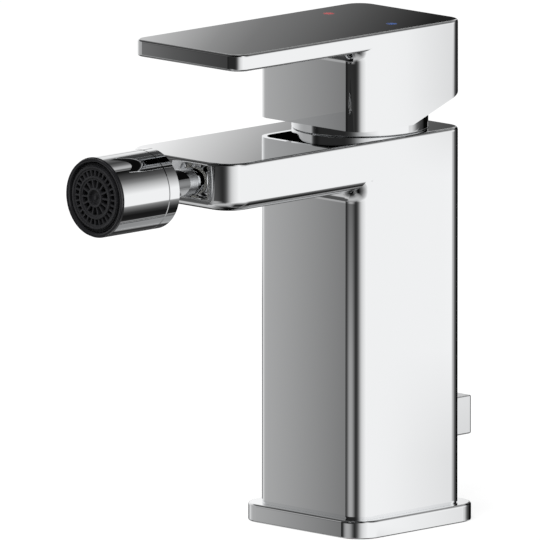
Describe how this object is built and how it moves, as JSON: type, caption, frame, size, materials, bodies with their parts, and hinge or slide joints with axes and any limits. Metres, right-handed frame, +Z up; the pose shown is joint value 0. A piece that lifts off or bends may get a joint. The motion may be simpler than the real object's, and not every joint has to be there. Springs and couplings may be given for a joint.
{
  "type": "bidet mixer",
  "caption": "Single-lever deck-mounted bidet mixer with a square column, flat spout, ball-jointed nozzle with aerator, ceramic cartridge and rear pop-up waste knob.",
  "frame": {"origin": "centre of the base plate's underside, on the deck", "axes": "+Z up, spout and nozzle towards -Y, +X to the user's right"},
  "size_m": [0.053, 0.155, 0.1552],
  "materials": {
    "chrome_plate": "mirror-bright chrome plate",
    "brass": "turned",
    "steel": "drawn and turned",
    "black_rubber": "moulded",
    "black_plastic": "satin moulded",
    "white_plastic": "moulded",
    "grey_plastic": "moulded",
    "ceramic": "lapped alumina",
    "red_enamel": "gloss fill",
    "blue_enamel": "gloss fill"
  },
  "bodies": {
    "body": {"body_casting": "chrome_plate", "base_plate": "chrome_plate", "base_gasket": "black_rubber", "cartridge_base": "grey_plastic", "port_seals": "black_rubber", "fixed_disc": "ceramic", "cartridge_housing": "white_plastic", "housing_seal": "black_rubber", "cartridge_nut": "brass", "collar": "chrome_plate", "knuckle": "chrome_plate", "knuckle_seal": "black_rubber", "rod_bush": "white_plastic"},
    "swivel": {"lever_guide": "grey_plastic", "pivot_pin": "steel"},
    "lever": {"cartridge_lever": "brass", "handle": "chrome_plate", "grub_screw": "steel", "screw_plug": "chrome_plate", "hot_mark": "red_enamel", "cold_mark": "blue_enamel"},
    "disc": {"disc_carrier": "white_plastic", "moving_disc": "ceramic"},
    "nozzle_yaw_seat": {"rear_ball_seat": "white_plastic"},
    "nozzle_pitch_seat": {"front_ball_seat": "white_plastic"},
    "nozzle": {"nozzle_housing": "chrome_plate", "nozzle_ring": "chrome_plate", "aerator_shell": "black_plastic", "aerator_grid": "black_plastic", "aerator_screen": "steel", "aerator_washer": "black_rubber"},
    "waste": {"knob": "chrome_plate", "knob_stem": "chrome_plate", "rod_clamp": "brass", "clamp_screw": "steel", "lift_rod": "steel"}
  },
  "joints": [
    {"name": "temperature_swivel", "type": "hinge", "parent": "body", "child": "swivel", "pos_m": [0, 0, 0.116], "axis": [0, 0, 1], "range_deg": [-45, 45]},
    {"name": "lever_lift", "type": "hinge", "parent": "swivel", "child": "lever", "pos_m": [0, 0, 0.116], "axis": [-1, 0, 0], "range_deg": [0, 20]},
    {"name": "disc_slide", "type": "slide", "parent": "swivel", "child": "disc", "axis": [0, -1, 0], "range_m": [0, 0.0042]},
    {"name": "nozzle_yaw", "type": "hinge", "parent": "body", "child": "nozzle_yaw_seat", "pos_m": [0, -0.096, 0.1137], "axis": [0, 0, 1], "range_deg": [-15, 15]},
    {"name": "nozzle_pitch", "type": "hinge", "parent": "nozzle_yaw_seat", "child": "nozzle_pitch_seat", "pos_m": [0, -0.096, 0.1137], "axis": [1, 0, 0], "range_deg": [-15, 15]},
    {"name": "nozzle_spin", "type": "hinge", "parent": "nozzle_pitch_seat", "child": "nozzle", "pos_m": [0, -0.096, 0.1137], "axis": [0, 1, 0], "continuous": true},
    {"name": "knob_lift", "type": "slide", "parent": "body", "child": "waste", "axis": [0, 0, 1], "range_m": [0, 0.014]}
  ],
  "couplings": [
    {"joint": "disc_slide", "follows": "lever_lift", "m_per_rad": 0.012}
  ]
}
